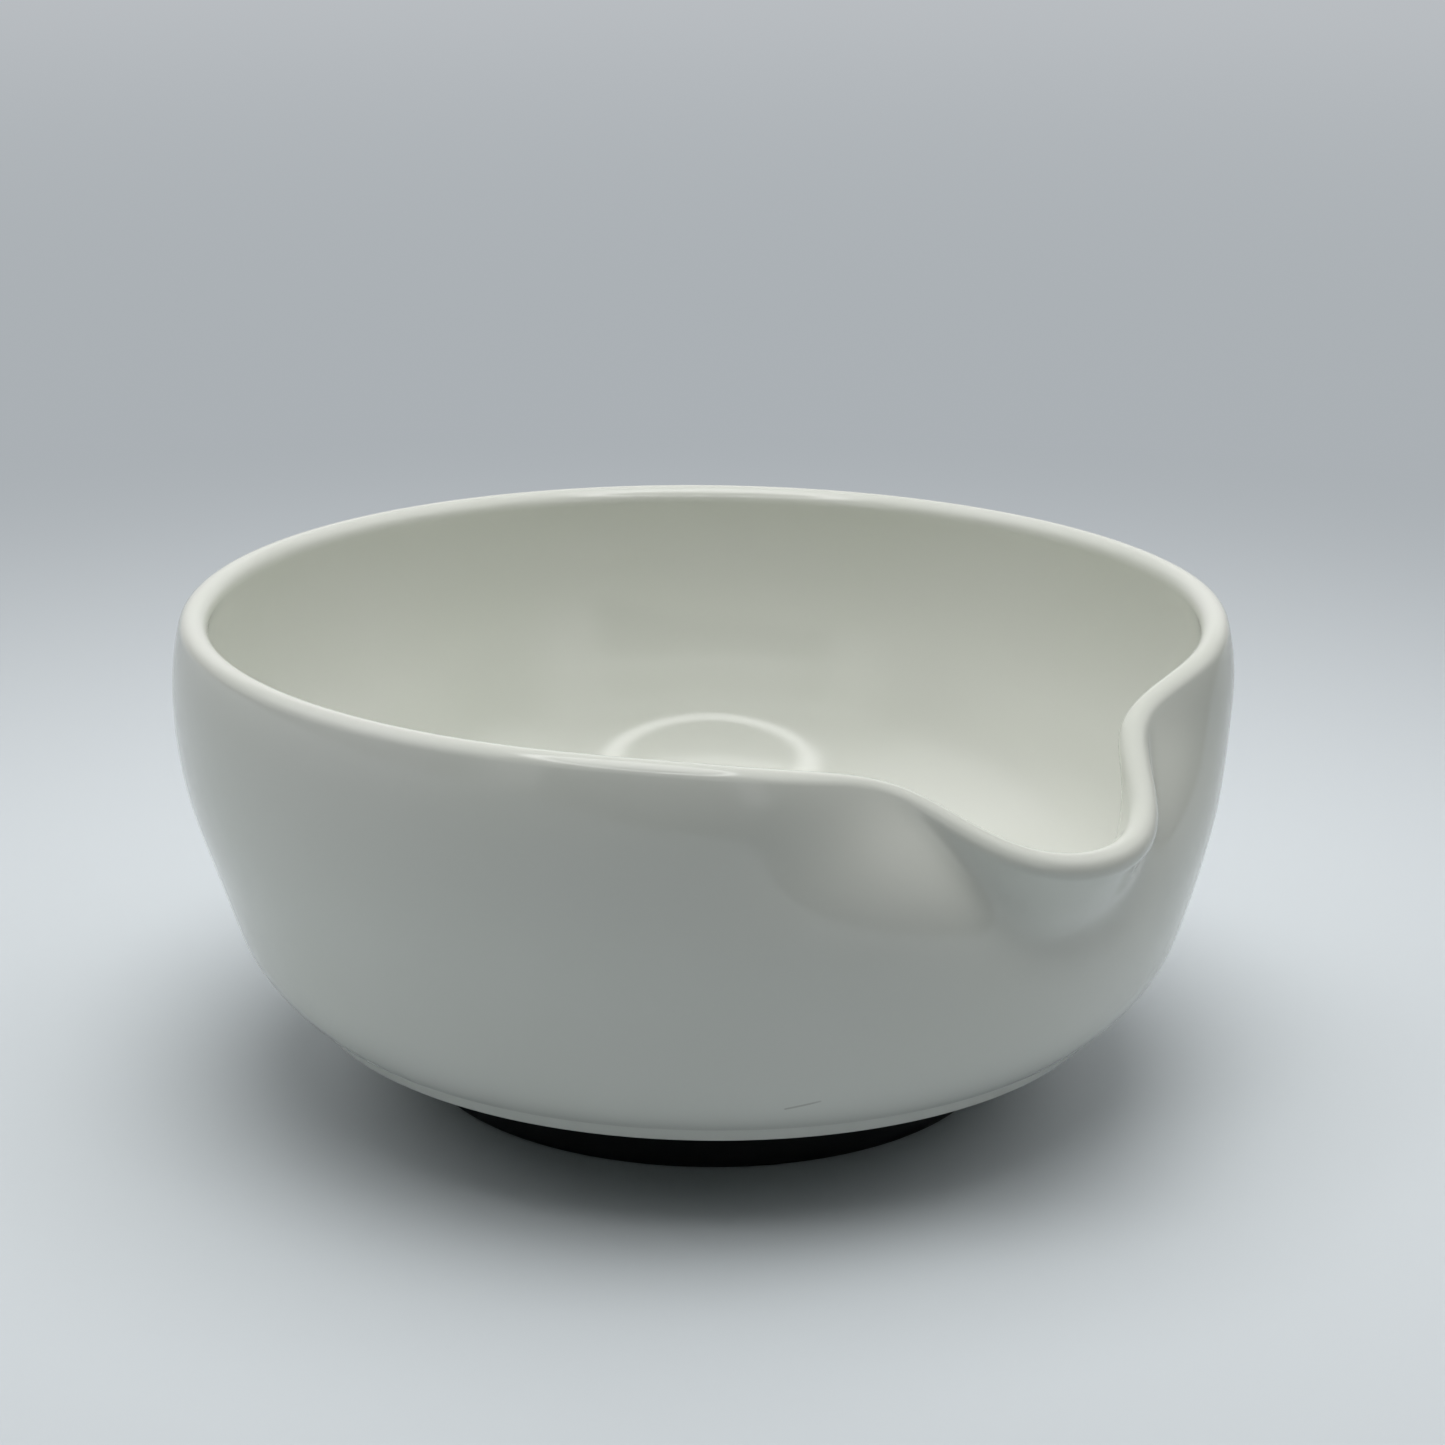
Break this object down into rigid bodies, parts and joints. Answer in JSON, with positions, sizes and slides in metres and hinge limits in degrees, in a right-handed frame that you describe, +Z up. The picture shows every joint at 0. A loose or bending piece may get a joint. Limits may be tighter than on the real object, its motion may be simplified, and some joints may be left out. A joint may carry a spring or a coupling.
{
  "type": "pouring bowl",
  "caption": "Round white glazed ceramic bowl with a pinched pouring spout, on a black rubber foot ring.",
  "frame": {"origin": "centre of the foot on the table, under the bowl's axis", "axes": "+Z up along the bowl's axis, +X towards the pouring spout"},
  "size_m": [0.1604, 0.16, 0.072],
  "materials": {
    "white_glaze": "gloss",
    "black_rubber": "gloss"
  },
  "bodies": {
    "root": {"bowl": "white_glaze", "foot_ring": "black_rubber"}
  },
  "joints": []
}
